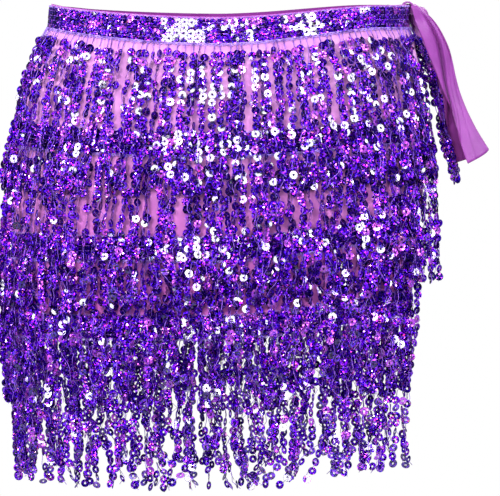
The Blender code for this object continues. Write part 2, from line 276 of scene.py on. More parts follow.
sequinFilm = {
    "fleckScale": 1100,
    "fleckTilt": 0.70,
    "pale": (0.52, 0.115, 0.80),
    "paleShare": [(0.915, 0), (0.935, 0.40), (1.00, 0.70)],
    # The rim ramp is painted shade, darker towards the hole and the outer edge; the gloss ramp is the
    # coat's weight across the sequin
    "rim": [(0.00, 0.20), (0.16, 1), (0.80, 1), (1.00, 0.40)],
    "gloss": [(0.00, 0.30), (0.10, 0.95), (0.82, 0.95), (1.00, 0.12)],
    "tints": [(0.00, (0.07, 0.035, 0.17)), (0.32, (0.20, 0.14, 0.40)), (0.58, (0.70, 0.61, 0.98)),
              (0.88, (1.15, 1.00, 1.10)), (0.94, (1.50, 0.80, 0.75)), (1.00, (1.60, 1.10, 1.15))],
    "flecks": [(0.00, (0.001, 0.000, 0.022)), (0.30, (0.005, 0.000, 0.100)), (0.45, (0.040, 0.000, 0.520)),
               (0.61, (0.125, 0.001, 0.880)), (0.76, (0.275, 0.008, 1.000)), (0.87, (0.470, 0.070, 1.000)),
               (0.93, (0.780, 0.270, 1.000)), (0.955, (0.900, 0.030, 0.200)), (0.98, (1.000, 0.600, 0.950)),
               (1.00, (1.000, 0.850, 1.000))],
}


def sequinMaterial():
    # Laser film: violet and indigo, with flecks that each catch the light in their own direction
    look = sequinFilm
    material, tree, shader = startMaterial("laserSequin")
    place = addNode(tree, "ShaderNodeTexCoord").outputs["Object"]
    tint = addNode(tree, "ShaderNodeAttribute", attribute_name="tint").outputs["Fac"]
    rim = addNode(tree, "ShaderNodeAttribute", attribute_name="rim").outputs["Fac"]
    cells = addNode(tree, "ShaderNodeTexVoronoi", {"Vector": place, "Scale": look["fleckScale"]})
    flecks = cells.outputs["Color"]
    chance = addNode(tree, "ShaderNodeSeparateColor", {0: flecks}).outputs[0]
    laser = colourRamp(tree, chance, look["flecks"])
    film = mixColour(tree, 1.0, colourRamp(tree, tint, look["tints"]), laser, "MULTIPLY")
    film = mixColour(tree, colourRamp(tree, tint, look["paleShare"]), film, look["pale"])
    # painted shade: darker towards the hole and at the outer edge, where the hole and the next sequins
    # shade it
    film = mixColour(tree, 1.0, film, colourRamp(tree, rim, look["rim"]), "MULTIPLY")
    # each fleck's own colour also turns its normal
    centred = addNode(tree, "ShaderNodeVectorMath", {0: flecks, 1: (0.5, 0.5, 0.5)}, operation="SUBTRACT")
    tilted = addNode(tree, "ShaderNodeVectorMath", {
        0: centred.outputs[0], 3: look["fleckTilt"]}, operation="SCALE")
    surface = addNode(tree, "ShaderNodeNewGeometry").outputs["Normal"]
    added = addNode(tree, "ShaderNodeVectorMath", {0: surface, 1: tilted.outputs[0]}, operation="ADD")
    unit = addNode(tree, "ShaderNodeVectorMath", {0: added.outputs[0]}, operation="NORMALIZE")
    setInputs(tree, shader, {
        "Base Color": film,
        "Roughness": 0.14,
        "Metallic": 0.55,
        "Specular IOR Level": 0.15,
        "Specular Tint": (0.50, 0.20, 1.00, 1),
        "Coat Weight": colourRamp(tree, rim, look["gloss"]),
        "Coat Roughness": 0.06,
        "Coat IOR": 1.46,
        "Normal": unit.outputs[0],
    })
    return material


def threadMaterial(name, dark, light, gloss):
    material, tree, shader = startMaterial(name)
    place = addNode(tree, "ShaderNodeTexCoord").outputs["Object"]
    fibres = addNode(tree, "ShaderNodeTexNoise", {"Vector": place, "Scale": 260, "Detail": 3})
    ground = colourRamp(tree, fibres.outputs[0], [(0.38, dark), (0.62, light)])
    setInputs(tree, shader, {"Base Color": ground, "Roughness": 0.6, "Specular IOR Level": gloss})
    return material


laserSequin = sequinMaterial()
strungThread = threadMaterial("strungThread", (0.05, 0.010, 0.19), (0.27, 0.11, 0.68), 0.25)
lavenderThread = threadMaterial("lavenderThread", (0.12, 0.05, 0.34), (0.42, 0.27, 0.85), 0.3)
# Near black, for the thread in the sequins' holes: painted shade of the holes
holeShadeThread = threadMaterial("holeShadeThread", (0.006, 0.001, 0.026), (0.016, 0.003, 0.060), 0.02)


# Geometry node trees

def openTree(name, sockets):
    # sockets: name, kind and first value of each input past the geometry
    tree = bpy.data.node_groups.new(name, "GeometryNodeTree")
    face = tree.interface
    face.new_socket("Geometry", in_out="INPUT", socket_type="NodeSocketGeometry")
    for label, kind, value in sockets:
        socket = face.new_socket(label, in_out="INPUT", socket_type="NodeSocket" + kind)
        if value is not None:
            socket.default_value = value
    face.new_socket("Geometry", in_out="OUTPUT", socket_type="NodeSocketGeometry")
    return tree, addNode(tree, "NodeGroupInput").outputs


def randomValue(tree, low, high, seed):
    return addNode(tree, "FunctionNodeRandomValue", {2: low, 3: high, "Seed": seed}).outputs[1]


def halfOf(tree, value):
    return addNode(tree, "ShaderNodeMath", {0: value, 1: 0.5}, operation="MULTIPLY").outputs[0]


def storeValue(tree, geometry, name, value, kind, domain):
    inputs = {"Geometry": geometry, "Name": name, "Value": value}
    node = addNode(tree, "GeometryNodeStoreNamedAttribute", inputs, data_type=kind, domain=domain)
    return node.outputs[0]


def setMaterial(tree, geometry, material, **selection):
    inputs = {"Geometry": geometry, "Material": material, **selection}
    return addNode(tree, "GeometryNodeSetMaterial", inputs).outputs[0]


# The near-black disc in each hole stands for the thread there, coloured as painted shade of the hole
sequinShape = {"holeShadeSides": 5, "holeShadeLift": 0.00022, "sizes": (0.94, 1.03)}


def sequinTree():
    # A cupped ring on every point, its face turned to the point's "facing", and in its hole a near-black
    # disc, the thread there coloured as painted shade of the hole
    tree, given = openTree("sequinsOnPoints", [
        ("Diameter", "Float", 0.006), ("Hole", "Float", 0.0010), ("Hole shaded", "Bool", True),
        ("Cup depth", "Float", 0.0004), ("Sides", "Int", 12), ("Darkest", "Float", 0.0),
        ("Material", "Material", None), ("Hole shade thread", "Material", None)])
    outer = halfOf(tree, given["Diameter"])
    inner = halfOf(tree, given["Hole"])
    cup = addNode(tree, "GeometryNodeMeshCone", {
        "Vertices": given["Sides"], "Side Segments": 1, "Radius Top": inner, "Radius Bottom": outer,
        "Depth": given["Cup depth"],
    }, fill_type="NONE")
    where = addNode(tree, "GeometryNodeInputPosition")
    reach = addNode(tree, "ShaderNodeVectorMath", {0: where.outputs[0]}, operation="LENGTH")
    outward = addNode(tree, "ShaderNodeMapRange", {
        "Value": reach.outputs["Value"], "From Min": inner, "From Max": outer})
    ring = storeValue(tree, cup.outputs["Mesh"], "rim", outward.outputs[0], "FLOAT", "POINT")
    disc = addNode(tree, "GeometryNodeMeshCircle", {
        "Vertices": sequinShape["holeShadeSides"], "Radius": inner}, fill_type="NGON")
    raised = addNode(tree, "GeometryNodeTransform", {
        "Geometry": disc.outputs[0], "Translation": (0, 0, sequinShape["holeShadeLift"])})
    # the disc in the hole, near black as painted shade
    holeShade = storeValue(tree, raised.outputs[0], "holeShade", True, "BOOLEAN", "FACE")
    filled = addNode(tree, "GeometryNodeSwitch", {
        "Switch": given["Hole shaded"], "True": holeShade}, input_type="GEOMETRY")
    sequin = addNode(tree, "GeometryNodeJoinGeometry")
    for part in (ring, filled.outputs[0]):
        tree.links.new(part, sequin.inputs[0])
    facing = addNode(tree, "GeometryNodeInputNamedAttribute", {0: "facing"}, data_type="FLOAT_VECTOR")
    turned = addNode(tree, "FunctionNodeAlignRotationToVector", {"Vector": facing.outputs[0]}, axis="Z")
    spin = addNode(tree, "ShaderNodeCombineXYZ", {"Z": randomValue(tree, 0.0, 6.283, 3)})
    spun = addNode(tree, "FunctionNodeRotateRotation", {
        0: turned.outputs[0], 1: spin.outputs[0]}, rotation_space="LOCAL")
    placed = addNode(tree, "GeometryNodeInstanceOnPoints", {
        "Points": given["Geometry"], "Instance": sequin.outputs[0], "Rotation": spun.outputs[0],
        "Scale": randomValue(tree, *sequinShape["sizes"], 5)})
    # a random tint for each sequin, from the tier's least up; a raised least tint is painted light
    shade = randomValue(tree, given["Darkest"], 1.0, 7)
    tinted = storeValue(tree, placed.outputs[0], "tint", shade, "FLOAT", "INSTANCE")
    real = addNode(tree, "GeometryNodeRealizeInstances", {0: tinted})
    film = setMaterial(tree, real.outputs[0], given["Material"])
    isHoleShade = addNode(tree, "GeometryNodeInputNamedAttribute", {0: "holeShade"}, data_type="BOOLEAN")
    finished = setMaterial(tree, film, given["Hole shade thread"], Selection=isHoleShade.outputs[0])
    addNode(tree, "NodeGroupOutput", {0: finished})
    return tree


def threadTree():
    # A round thread along every run of edges
    tree, given = openTree("threadsOnEdges", [
        ("Thickness", "Float", 0.0004), ("Sides", "Int", 3), ("Material", "Material", None)])
    run = addNode(tree, "GeometryNodeMeshToCurve", {0: given["Geometry"]})
    section = addNode(tree, "GeometryNodeCurvePrimitiveCircle", {
        "Resolution": given["Sides"], "Radius": halfOf(tree, given["Thickness"])})
    thread = addNode(tree, "GeometryNodeCurveToMesh", {
        "Curve": run.outputs[0], "Profile Curve": section.outputs[0], "Fill Caps": True})
    real = addNode(tree, "GeometryNodeRealizeInstances", {0: thread.outputs[0]})
    addNode(tree, "NodeGroupOutput", {0: setMaterial(tree, real.outputs[0], given["Material"])})
    return tree


sequinsOnPoints = sequinTree()
threadsOnEdges = threadTree()


def addObject(name, data):
    made = bpy.data.objects.new(name, data)
    scene.collection.objects.link(made)
    return made


def plainMesh(piece):
    return bpy.data.meshes.new_from_object(piece.evaluated_get(bpy.context.evaluated_depsgraph_get()))


def runTree(name, mesh, tree, values):
    # Gives the mesh to the tree and keeps the result as a plain mesh
    host = addObject(name + "Host", mesh)
    modifier = host.modifiers.new("nodes", "NODES")
    modifier.node_group = tree
    for item in tree.interface.items_tree:
        if item.item_type == "SOCKET" and item.in_out == "INPUT" and item.name in values:
            modifier[item.identifier] = values[item.name]
    made = plainMesh(host)
    bpy.data.objects.remove(host, do_unlink=True)
    made.name = name
    return addObject(name, made)


def pointMesh(name, points, facings):
    mesh = bpy.data.meshes.new(name)
    mesh.vertices.add(len(points))
    mesh.vertices.foreach_set("co", np.asarray(points, np.float32).ravel())
    facing = mesh.attributes.new("facing", "FLOAT_VECTOR", "POINT")
    facing.data.foreach_set("vector", np.asarray(facings, np.float32).ravel())
    mesh.update()
    return mesh


def edgeMesh(name, runs):
    # runs is a list of point lists, each one open run of edges
    points = np.concatenate(runs)
    edges = []
    start = 0
    for run in runs:
        edges.extend((start + i, start + i + 1) for i in range(len(run) - 1))
        start += len(run)
    mesh = bpy.data.meshes.new(name)
    mesh.from_pydata([tuple(p) for p in points], edges, [])
    mesh.update()
    return mesh


def clothPiece(name, rows, widths, heights, wall, side, faceMaterial, reverseMaterial):
    # rows of points over a sheet; widths and heights are the flat place of each column and row
    rows = np.array(rows)
    count, wide = rows.shape[:2]
    mesh = bpy.data.meshes.new(name)
    faces = [(r * wide + c, (r + 1) * wide + c, (r + 1) * wide + c + 1, r * wide + c + 1)
             for r in range(count - 1) for c in range(wide - 1)]
    mesh.from_pydata([tuple(p) for p in rows.reshape(-1, 3)], [], faces)
    layer = mesh.uv_layers.new(name="cloth")
    flat = np.array([(widths[v % wide], heights[v // wide]) for face in faces for v in face])
    layer.data.foreach_set("uv", flat.ravel())
    for material in (faceMaterial, reverseMaterial):
        mesh.materials.append(material)
    mesh.shade_smooth()
    piece = addObject(name, mesh)
    shell = piece.modifiers.new("wall", "SOLIDIFY")
    shell.material_offset = 1
    shell.thickness = wall
    shell.offset = side
    made = plainMesh(piece)
    piece.modifiers.clear()
    piece.data = made
    return piece


# Main panel

mainPanel = {
    "columns": 180,
    "rowsPerStretch": 4,
    "lines": [0.0060, -0.0140, -0.0300, -0.0500, -0.0762, -0.0932, -0.1200, -0.1494, -0.1664, -0.2046,
              -0.2216],
    "wall": 0.0008,
    "creaseDepth": 0.0006,
    "creaseTurns": (0.31, 0.113),
    "creaseSlant": 40,
    "creaseStarts": 0.02,
    "creaseFull": 0.08,
    "frontDip": 0.0009,
    "backDip": 0.0016,
    "dipReach": 0.005,
    "offset": -0.0002,
}


def backDip(angles):
    # the back's top edge is lower on its way to the sides
    turn = np.radians(angles)
    return mainPanel["backDip"] * smoothStep(-np.sin(turn) * 2) * np.minimum(1.6 * np.cos(turn) ** 2, 1)


def makeMainPanel():
    look = mainPanel
    lines = []
    for upper, lower in zip(look["lines"], look["lines"][1:]):
        lines.extend(np.linspace(upper, lower, look["rowsPerStretch"], endpoint=False))
    lines.append(look["lines"][-1])
    shares = np.linspace(1, 0, look["columns"] + 1)
    rows = []
    for line in lines:
        angles = wrapAngle(shares, line)
        fine, broad = look["creaseTurns"]
        wave = np.sin(angles * fine + look["creaseSlant"] * line) * np.sin(angles * broad + 2.0)
        full = smoothStep((-line - look["creaseStarts"]) / (look["creaseFull"] - look["creaseStarts"]))
        row = clothPoint(angles, line, look["offset"] + wave * look["creaseDepth"] * full)
        dip = look["frontDip"] * smoothStep(np.sin(np.radians(angles)) * 2) + backDip(angles)
        row[:, 2] -= dip * smoothStep(line / look["dipReach"])
        rows.append(row)
    # The face outside; the reverse inside, darkened as painted shade
    return clothPiece("mainPanelCloth", rows, shares * cutLength, lines, look["wall"], -1,
                      panelKnit, panelReverseShaded)


panelCloth = makeMainPanel()
print("main panel made")


# Waist tape, sewn inside the panel's top

waistTape = {
    "columns": 180,
    "rows": 5,
    "height": 0.018,
    "wall": 0.0008,
    "offset": -0.0016,
    "footLine": -0.0140,
    "footShare": 0.92,
    "backRise": 0.0023,
}


def makeWaistTape():
    look = waistTape
    shares = np.linspace(1, 0, look["columns"] + 1)
    angles = wrapAngle(shares, wrapLines["bandLine"])
    top = clothPoint(angles, wrapLines["bandLine"], look["offset"])
    top[:, 2] += look["backRise"] * smoothStep(-np.sin(np.radians(angles)) * 2) - backDip(angles)
    foot = clothPoint(wrapAngle(shares, look["footLine"]), look["footLine"], look["offset"])
    steps = np.linspace(0, look["footShare"], look["rows"])
    rows = [top * (1 - step) + foot * step for step in steps]
    # Both faces of the tape darkened as painted shade of the wrap's inside
    return clothPiece("waistTapeCloth", rows, shares * cutLength, look["height"] * steps, look["wall"], -1,
                      tapeKnitShaded, tapeKnitShaded)


tapeCloth = makeWaistTape()
print("waist tape made")


# Fringe tiers

# A value in brackets has one figure for each tier, from the band down, where no note says otherwise
fringe = {
    "sequin": 0.0062,
    "hole": (0.0016, 0.0015, 0.0014, 0.0016),
    # Which tiers have a near-black disc in each sequin's hole, as painted shade of the hole; the tips'
    # holes stay open
    "holeShaded": (True, True, True, False),
    # The least random tint of each tier's sequins: raised in the lower tiers as painted light, for the lamp
    # light their more turned sequins catch less of
    "darkest": (0.0, 0.0, 0.04, 0.16),
    "cupDepth": 0.00005,
    "sides": 14,
    "strandPitch": (0.0053, 0.0052, 0.0053, 0.0056),
    "rootScatter": 0.3,  # of the pitch, each way
    "crowding": 0.26,
    "crowdReach": 0.22,
    "strandLength": 0.1090,
    "lengthSpread": 0.05,
    "firstSequin": 0.0066,
    "sequinPitch": 0.0057,
    "startSpread": 0.0036,
    "slack": 0.0003,
    "aside": 0.0005,
    "twist": (15.5, 31.0, 48.0, 66.0),
    "twistKept": 0.72,
    "freeTwist": 75.0,
    "freeShare": 0.22,
    "freeReach": 22,
    "tilt": (4.3, 8.2, 12.0, 11.0),
    "tipTilt": (0.3, 0.3, 0.3, 0.6),
    "shingle": (0.5, 2.5, -0.5, 3.0),
    "standOff": (0.0012, 0.0022, 0.0034, 0.0052, 0.0062),  # root, clear, above and past a header, tip
    "loose": 0.0016,
    "layers": 0.0020,
    "layeredBy": 0.08,
    "sway": 0.0030,
    "swayRates": (2.0, 5.5),  # least and most
    "wiggle": 0.0007,
    "wiggleRate": 21,
    "tipScatter": (0.0035, 0.0035, 0.0040, 0.0075),
    "strayFrom": 0.7,
    "threadThickness": 0.00048,
    "threadReach": (0.055, 0.99),  # from and to, in shares of the length
    "threadSteps": 20,
    "threadLift": 0.0010,
    "threadWander": 0.0016,
    "weaveTurn": 1.9,
    "legPlaces": (0.0, 0.030, 0.062),  # down the strand
    "legShares": (1.0, 0.7, 0.2),  # of the spread, at those places
    "legSpread": 0.0003,
    "legUneven": (0.5, 1.6),  # least and most of the spread
    "headerRows": 4,
    "headerColumnPitch": 0.0052,
    "headerOffset": 0.0014,
    "headerTilt": 10.0,
    "headerWobble": 2.2,
    "headerUneven": 0.02,
    "headerScatter": 0.0002,
    "stitchPlaces": (-0.42, -0.05, 0.38),  # along a stitch, in shares of the pitch
    "stitchOffsets": (-0.0006, 0.0001, 0.0003),  # off the header at those places
    "sewingThickness": 0.00062,
    "sewingSteps": 460,
    "zigzag": 0.0005,
}
tiers = [
    {"line": -0.0140, "header": 0.0180, "endLean": 12.0, "seed": 11},
    {"line": -0.0932, "header": 0.0170, "endLean": 5.0, "seed": 22},
    {"line": -0.1664, "header": 0.0170, "endLean": 2.0, "seed": 33},
    {"line": -0.2216, "header": 0.0170, "endLean": 0.0, "seed": 44},
]
# How the strands part at the slit, in degrees round the figure where no note says otherwise
lean = {
    "fade": 11.0,
    "joinsSide": 3.5,
    "joinedFrom": -2.0,
    "turnsForward": 14.0,
    "frontClears": 15.5,
    "frontKeeps": 0.4,  # of the roots' own spacing
    "partedBy": 0.20,  # of the strand's length
    "sideReach": 12.0,
    "backParting": 9.0,
    "backFrom": 352.0,
    "backStandOff": 0.0022,  # metres
    "sideLength": 1.055,  # of the other strands' length
}


def boundedNormal(rng, count):
    # so that no strand strays far from the others
    return np.clip(rng.normal(0, 1, count), -1.8, 1.8)


def countAlong(tier, pitch):
    return int(cutLength * wrapValue("stretch", tier["line"]) / pitch)


def tipAngles(index, roots, first, last):
    # End strands lean away from the slit; those on the side itself hang straight
    endLean = tiers[index]["endLean"]
    tips = roots + endLean * np.exp((first - roots) / lean["fade"])
    leanBy = np.ones(len(roots))
    if index == 0:
        # the front's first strands part early: some join the side's, the rest go forwards
        joining = roots < first + lean["joinsSide"]
        forward = (roots < first + lean["turnsForward"]) & ~joining
        cleared = first + lean["frontClears"] + (roots - first) * lean["frontKeeps"]
        tips = np.where(joining, roots - first + lean["joinedFrom"], tips)
        tips = np.where(forward, np.maximum(tips, cleared), tips)
        leanBy = np.where(joining | forward, lean["partedBy"], 1.0)
        behind = (360 - lean["sideReach"]) - roots
        tips -= np.where(behind > 0, lean["backParting"] * np.exp(-np.abs(behind) / lean["fade"]), 0)
    else:
        tips -= endLean * np.exp((roots - last) / lean["fade"])
    return tips, leanBy


def standOff(index, along):
    # How far a strand's middle lies off the panel, over the next header and past it
    length = fringe["strandLength"]
    root, near, above, past, tip = fringe["standOff"]
    if index == len(tiers) - 1:
        return np.interp(along, [0, 0.1, 1], [root, near, near])
    drop = tiers[index]["line"] - tiers[index + 1]["line"]
    headerTop = (drop - tiers[index + 1]["header"]) / length
    places = [0, 0.1, headerTop - 0.03, drop / length + 0.03, 1]
    return np.interp(along, places, [root, near, above, past, tip])


def strandPoints(index, strands, along):
    # along: shares of the length, one row for each strand
    tier = tiers[index]
    each = {key: value[:, None] for key, value in strands.items()}
    bend = each["sway"] * along * np.sin(each["phase"] + each["rate"] * along)
    wiggle = fringe["wiggle"] * np.sin(each["phase"] * 3 + fringe["wiggleRate"] * along)
    stray = each["stray"] * np.clip((along - fringe["strayFrom"]) / (1 - fringe["strayFrom"]), 0, 1) ** 2
    leant = smoothStep(along / each["leanBy"])
    moved = np.degrees((bend + wiggle + stray) / figure["meanRadius"])
    angle = each["root"] + (each["tip"] - each["root"]) * leant + moved
    line = tier["line"] - along * fringe["strandLength"] * each["length"]
    offset = standOff(index, along) + each["loose"] * along
    offset = offset + each["layer"] * np.clip(along / fringe["layeredBy"], 0, 1)
    return clothPoint(angle, line, offset), outDirection(angle)


def planStrands(index, rng):
    tier = tiers[index]
    count = countAlong(tier, fringe["strandPitch"][index])
    scatter = fringe["rootScatter"]
    shares = (np.arange(count) + 0.5 + rng.uniform(-scatter, scatter, count)) / count
    # the strands crowd towards the front end of the wrap
    reach = fringe["crowdReach"]
    crowded = shares - fringe["crowding"] * reach * (1 - np.exp(-shares / reach))
    roots = wrapAngle(crowded / (1 - fringe["crowding"] * reach), tier["line"])
    ends = wrapAngle([0.0, 1.0], tier["line"])
    tips, leanBy = tipAngles(index, roots, *ends)
    shorter = fringe["lengthSpread"]
    # the band's strands on the side itself hang a little lower than the others
    fromBack = (roots > lean["backFrom"]) & (index == 0)
    onTheSide = ((roots < ends[0] + lean["joinsSide"]) & (index == 0)) | fromBack
    return {
        "root": roots,
        "tip": tips,
        "leanBy": leanBy,
        "stray": boundedNormal(rng, count) * fringe["tipScatter"][index],
        "sway": boundedNormal(rng, count) * fringe["sway"],
        "phase": rng.uniform(0, 6.28, count),
        "rate": rng.uniform(*fringe["swayRates"], count),
        "layer": rng.uniform(0, fringe["layers"], count),
        "length": np.where(onTheSide, lean["sideLength"], 1) - rng.uniform(0, shorter, count),
        "loose": rng.uniform(0, fringe["loose"], count) + lean["backStandOff"] * fromBack,
    }


def strandSequins(index, strands, rng):
    count = len(strands["root"])
    each = int((fringe["strandLength"] - fringe["firstSequin"]) / fringe["sequinPitch"]) + 1
    starts = rng.uniform(0, fringe["startSpread"], (count, 1))
    slack = rng.normal(0, fringe["slack"], (count, each))
    run = fringe["firstSequin"] + fringe["sequinPitch"] * np.arange(each) + (starts + slack)
    along = np.minimum(run / fringe["strandLength"], 1.0)
    points, out = strandPoints(index, strands, along)
    down = np.gradient(points, axis=1)
    down /= np.linalg.norm(down, axis=-1, keepdims=True)
    face = out - down * np.sum(out * down, axis=-1, keepdims=True)
    face /= np.linalg.norm(face, axis=-1, keepdims=True)
    # strands at the two sides, and some of the others, turn freely
    fromSide = np.abs((strands["root"] + 90) % 180 - 90)
    free = (fromSide < fringe["freeReach"]) | (rng.random(count) < fringe["freeShare"])
    turnWidth = np.where(free, fringe["freeTwist"], fringe["twist"][index])
    twist = np.zeros((count, each))
    twist[:, 0] = rng.normal(0, 1, count)
    kept = fringe["twistKept"]
    for k in range(1, each):
        twist[:, k] = kept * twist[:, k - 1] + rng.normal(0, math.sqrt(1 - kept * kept), count)
    twist *= turnWidth[:, None]
    face = turnAbout(face, down, np.radians(twist))
    across = np.cross(down, face)
    spread = fringe["tilt"][index] * (1 + fringe["tipTilt"][index] * along ** 3)
    tilt = rng.normal(0, 1, (count, each)) * spread + fringe["shingle"][index]
    face = turnAbout(face, across, np.radians(tilt))
    points = points + across * rng.normal(0, fringe["aside"], (count, each))[..., None]
    return points.reshape(-1, 3), face.reshape(-1, 3)


def headerRows(tier):
    # the line that each row of header sequins is sewn on
    step = (tier["header"] - fringe["sequin"]) / (fringe["headerRows"] - 1)
    return [tier["line"] + fringe["sequin"] / 2 + row * step for row in range(fringe["headerRows"])]


def headerSequins(index, rng):
    tier = tiers[index]
    count = countAlong(tier, fringe["headerColumnPitch"])
    wobble = fringe["headerWobble"]
    points, faces = [], []
    for line in headerRows(tier):
        shares = (np.arange(count) + 0.5 + rng.normal(0, fringe["headerUneven"], count)) / count
        angles = wrapAngle(np.clip(shares, 0, 1), tier["line"])
        lines = line + rng.normal(0, fringe["headerScatter"], count)
        points.append(clothPoint(angles, lines, fringe["headerOffset"]))
        out = outDirection(angles)
        aside = np.cross(out, [0, 0, 1.0])
        up = np.broadcast_to([0, 0, 1.0], out.shape)
        face = turnAbout(out, aside, np.radians(rng.normal(fringe["headerTilt"], wobble, count)))
        faces.append(turnAbout(face, up, np.radians(rng.normal(0, wobble, count))))
    return np.concatenate(points), np.concatenate(faces)


def strandThreads(index, strands, rng):
    # A thread down each strand, weaving over and under its sequins
    count = len(strands["root"])
    steps = fringe["threadSteps"]
    along = np.broadcast_to(np.linspace(*fringe["threadReach"], steps), (count, steps))
    points, out = strandPoints(index, strands, along)
    weave = np.sin(np.arange(steps) * fringe["weaveTurn"] + strands["phase"][:, None])
    lift = fringe["threadLift"] * (0.2 + weave)
    aside = np.cross(out, [0, 0, 1.0])
    wander = rng.normal(0, fringe["threadWander"], (count, steps))
    wander[:, 0] = 0
    points = points + out * lift[..., None] + aside * wander[..., None]
    return list(points)


def strandLegs(index, strands, rng):
    # Two bare threads from the header to each strand's first sequin
    count = len(strands["root"])
    along = np.broadcast_to(np.array(fringe["legPlaces"]), (count, len(fringe["legPlaces"])))
    points, out = strandPoints(index, strands, along)
    aside = np.cross(out[:, :1], [0, 0, 1.0])
    runs = []
    for side in (-1, 1):
        apart = side * fringe["legSpread"] * rng.uniform(*fringe["legUneven"], (count, 1))
        runs.extend(points + aside * (apart * np.array(fringe["legShares"]))[..., None])
    return runs


def headerThreads(index):
    # Sewn lines along the header's edges: one straight, and one overlocked at the foot and at the top
    tier = tiers[index]
    count = fringe["sewingSteps"]
    angles = wrapAngle(np.linspace(0, 1, count), tier["line"])
    zigzag = fringe["zigzag"] * (-1.0) ** np.arange(count)
    # each line's height over the header's foot, how far it stands off, and its share of the zigzag
    lines = ((0.0002, 0.0016, 0), (-0.0008, 0.0014, 1), (tier["header"], 0.0012, 1))
    return [clothPoint(angles, tier["line"] + height + swing * zigzag, offset)
            for height, offset, swing in lines]


def headerStitches(index):
    # Along each row the thread comes up in a sequin's hole and goes down past its edge
    tier = tiers[index]
    count = countAlong(tier, fringe["headerColumnPitch"])
    shares = (np.arange(count)[:, None] + 0.5 + np.array(fringe["stitchPlaces"])).ravel() / count
    angles = wrapAngle(np.clip(shares, 0, 1), tier["line"])
    offset = fringe["headerOffset"] + np.tile(fringe["stitchOffsets"], count)
    return [clothPoint(angles, line, offset) for line in headerRows(tier)]


def makeTier(index):
    tier = tiers[index]
    name = f"fringeTier{index + 1}"
    rng = np.random.default_rng(tier["seed"])
    strands = planStrands(index, rng)
    hung, hungFaces = strandSequins(index, strands, rng)
    sewn, sewnFaces = headerSequins(index, rng)
    points, faces = np.concatenate([hung, sewn]), np.concatenate([hungFaces, sewnFaces])
    sequins = runTree(name + "Sequins", pointMesh(name + "Points", points, faces), sequinsOnPoints, {
        "Diameter": fringe["sequin"], "Hole": fringe["hole"][index], "Hole shaded": fringe["holeShaded"][index],
        "Cup depth": fringe["cupDepth"], "Sides": fringe["sides"], "Darkest": fringe["darkest"][index],
        "Material": laserSequin, "Hole shade thread": holeShadeThread})
    runs = strandThreads(index, strands, rng) + strandLegs(index, strands, rng) + headerStitches(index)
    threads = runTree(name + "Threads", edgeMesh(name + "Runs", runs), threadsOnEdges, {
        "Thickness": fringe["threadThickness"], "Sides": 3, "Material": strungThread})
    edges = edgeMesh(name + "SewingRuns", headerThreads(index))
    sewing = runTree(name + "Sewing", edges, threadsOnEdges, {
        "Thickness": fringe["sewingThickness"], "Sides": 4, "Material": lavenderThread})
    for piece in (sequins, threads, sewing):
        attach(piece, "root")
        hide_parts(f"fringe_tier_{index + 1}")
    print(name, len(strands["root"]), "strands,", len(points), "sequins")
    return sequins, threads, sewing


tierPieces = [makeTier(index) for index in range(len(tiers))]


# Tie: the strap over the band, the knot and the two tails

# Down the tails from the knot: the fold's place, each edge's, and how far the tails stand forward or back
tie = {
    "heights": [0.0135, 0.0105, 0.0060, 0.0000, -0.0071, -0.0140,
                -0.0207, -0.0359, -0.0496, -0.0625, -0.0769, -0.0908],
    "spineX": [0.1338, 0.1375, 0.1435, 0.1483, 0.1526, 0.1560,
               0.1588, 0.1616, 0.1652, 0.1703, 0.1775, 0.1863],
    "frontX": [0.1300, 0.1308, 0.1320, 0.1335, 0.1368, 0.1397,
               0.1420, 0.1487, 0.1540, 0.1614, 0.1656, 0.1712],
    "rearX": [0.1300, 0.1308, 0.1322, 0.1345, 0.1380, 0.1420,
              0.1458, 0.1505, 0.1535, 0.1555, 0.1585, 0.1624],
    "spread": [0.0010, 0.0016, 0.0020, 0.0022, 0.0025, 0.0030,
               0.0036, 0.0042, 0.0046, 0.0055, 0.0070, 0.0085],
    "frontPlace": [-0.0030, -0.0090, -0.0140, -0.0160, -0.0150, -0.0130,
                   -0.0110, -0.0075, -0.0055, -0.0050, -0.0050, -0.0050],
    "rearPlace": [0.0050, 0.0090, 0.0110, 0.0120, 0.0130, 0.0140,
                  0.0150, 0.0160, 0.0170, 0.0175, 0.0180, 0.0180],
    "rearInset": 0.0035,
    "rearLength": 0.86,
    "hemDrop": 0.0100,
    "hemDropStarts": 0.60,
    "fullness": 0.8,
    "wall": 0.0010,
    "rows": 60,
    "smoothedOver": 7,
    "leafColumns": 24,
    "cutWidth": 0.042,
    "pleatSway": 0.02,
    "pleatsFrom": 0.12,
}
tailPleats = [
    # place across the leaf at the top, how far it has moved over at the foot, depth, half width
    (0.15, 1.22, 0.0032, 0.065),
    (0.30, 1.33, -0.0038, 0.080),
    (1.05, 0.90, 0.0040, 0.330),
    (0.00, 0.62, -0.0012, 0.060),
]


